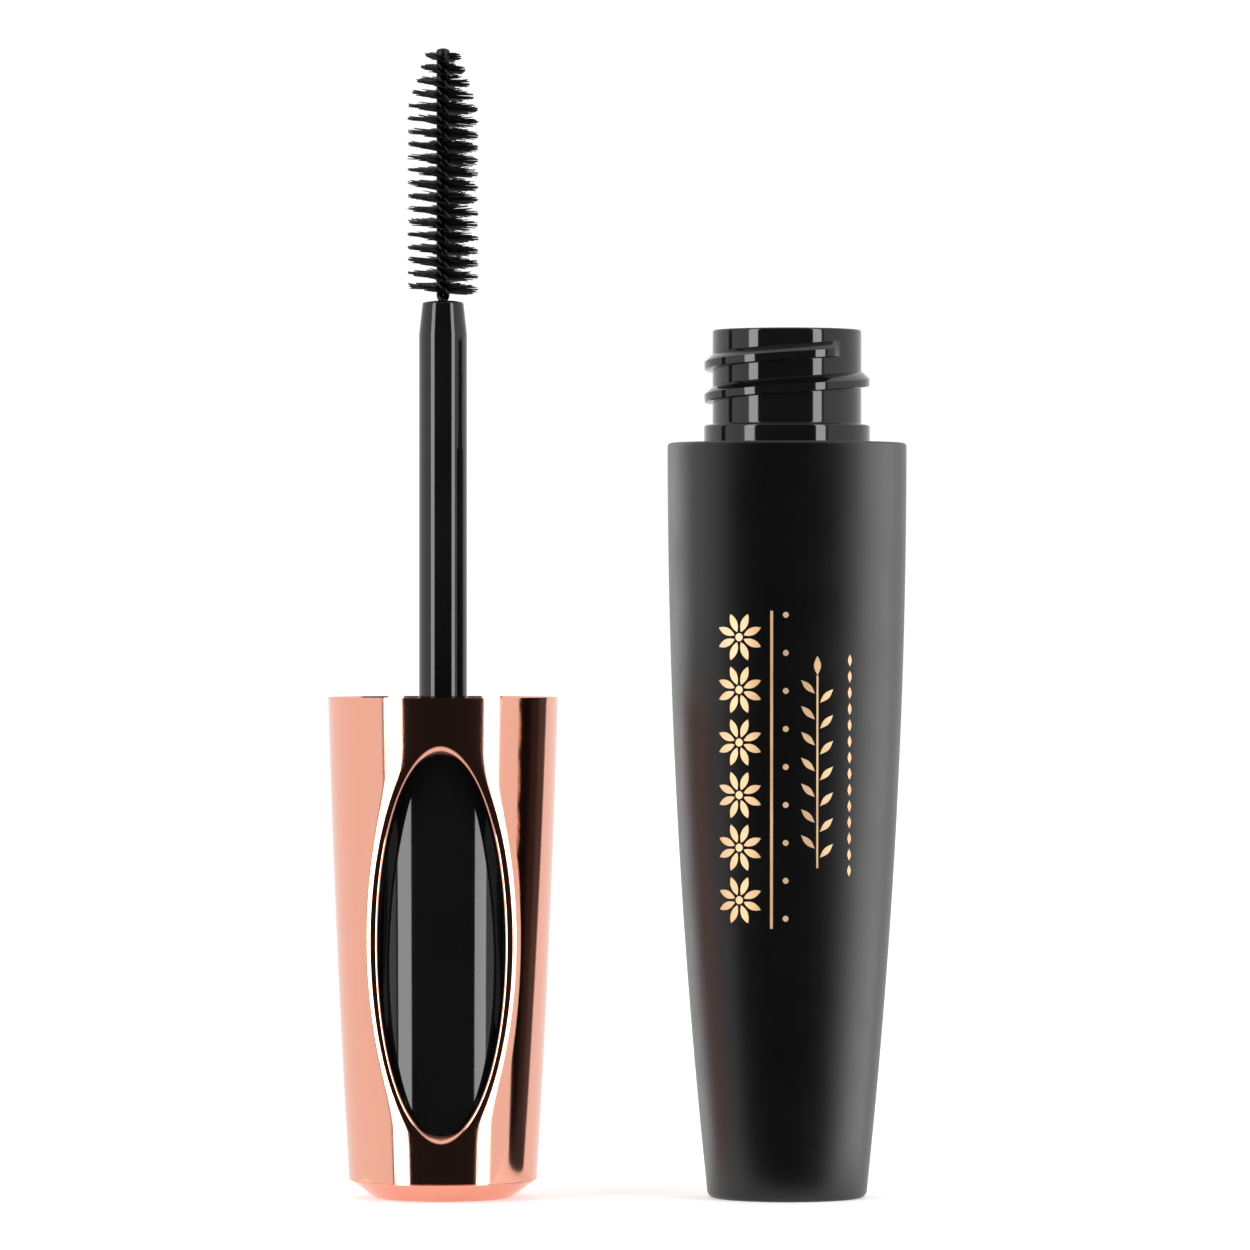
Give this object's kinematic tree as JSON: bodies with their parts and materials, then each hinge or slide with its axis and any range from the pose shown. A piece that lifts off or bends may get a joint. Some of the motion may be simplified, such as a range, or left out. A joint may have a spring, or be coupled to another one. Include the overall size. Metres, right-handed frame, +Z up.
{
  "type": "mascara tube",
  "caption": "Open mascara pack: a tapered matte bottle with a threaded neck and rod wiper, and a mirror-finish cap that carries a stem with a twisted-wire brush.",
  "frame": {"origin": "centre of the bottle's flat base, on the surface that both the bottle and the applicator stand on", "axes": "+Z up along the bottle's axis, towards the neck; -X towards the standing applicator; -Y is the front, where the cap's oval window faces"},
  "size_m": [0.0578, 0.0238, 0.1149],
  "materials": {
    "soft_touch_black": "soft-touch matte coating",
    "gloss_black": "high-gloss moulded",
    "rose_gold": "mirror, rose-gold anodised",
    "wiper_plastic": "natural low-density polyethylene",
    "formula": "thick black paste",
    "seal_foam": "foamed polyethylene",
    "steel": "zinc plated",
    "wire": "blackened stainless wire",
    "nylon": "black nylon fibres"
  },
  "bodies": {
    "bottle": {"bottle_casing": "soft_touch_black", "base_plug": "soft_touch_black", "inner_vial": "gloss_black", "wiper": "wiper_plastic", "mascara_formula": "formula"},
    "turned": {"stem_stopper": "wiper_plastic"},
    "lowered": {"cap_weight": "steel"},
    "advanced": {"seal_ring": "seal_foam"},
    "applicator": {"cap_shell": "rose_gold", "cap_end_plug": "rose_gold", "inner_cap": "gloss_black", "stem": "gloss_black", "brush_wire": "wire", "bristles": "nylon"}
  },
  "joints": [
    {"name": "turn_over", "type": "hinge", "parent": "bottle", "child": "turned", "pos_m": [-0.0172, 0, 0.1025], "axis": [0, 1, 0], "range_deg": [0, 180]},
    {"name": "insert", "type": "slide", "parent": "turned", "child": "lowered", "axis": [0, 0, 1], "range_m": [0, 0.07623], "deforming": ["bristles"]},
    {"name": "screw_advance", "type": "slide", "parent": "lowered", "child": "advanced", "axis": [0, 0, 1], "range_m": [0, 0.00325]},
    {"name": "cap_screw", "type": "hinge", "parent": "advanced", "child": "applicator", "pos_m": [-0.0344, 0, 0], "axis": [0, 0, 1], "range_deg": [0, 360]}
  ],
  "couplings": [
    {"joint": "screw_advance", "follows": "cap_screw", "m_per_rad": 0.00051725}
  ]
}
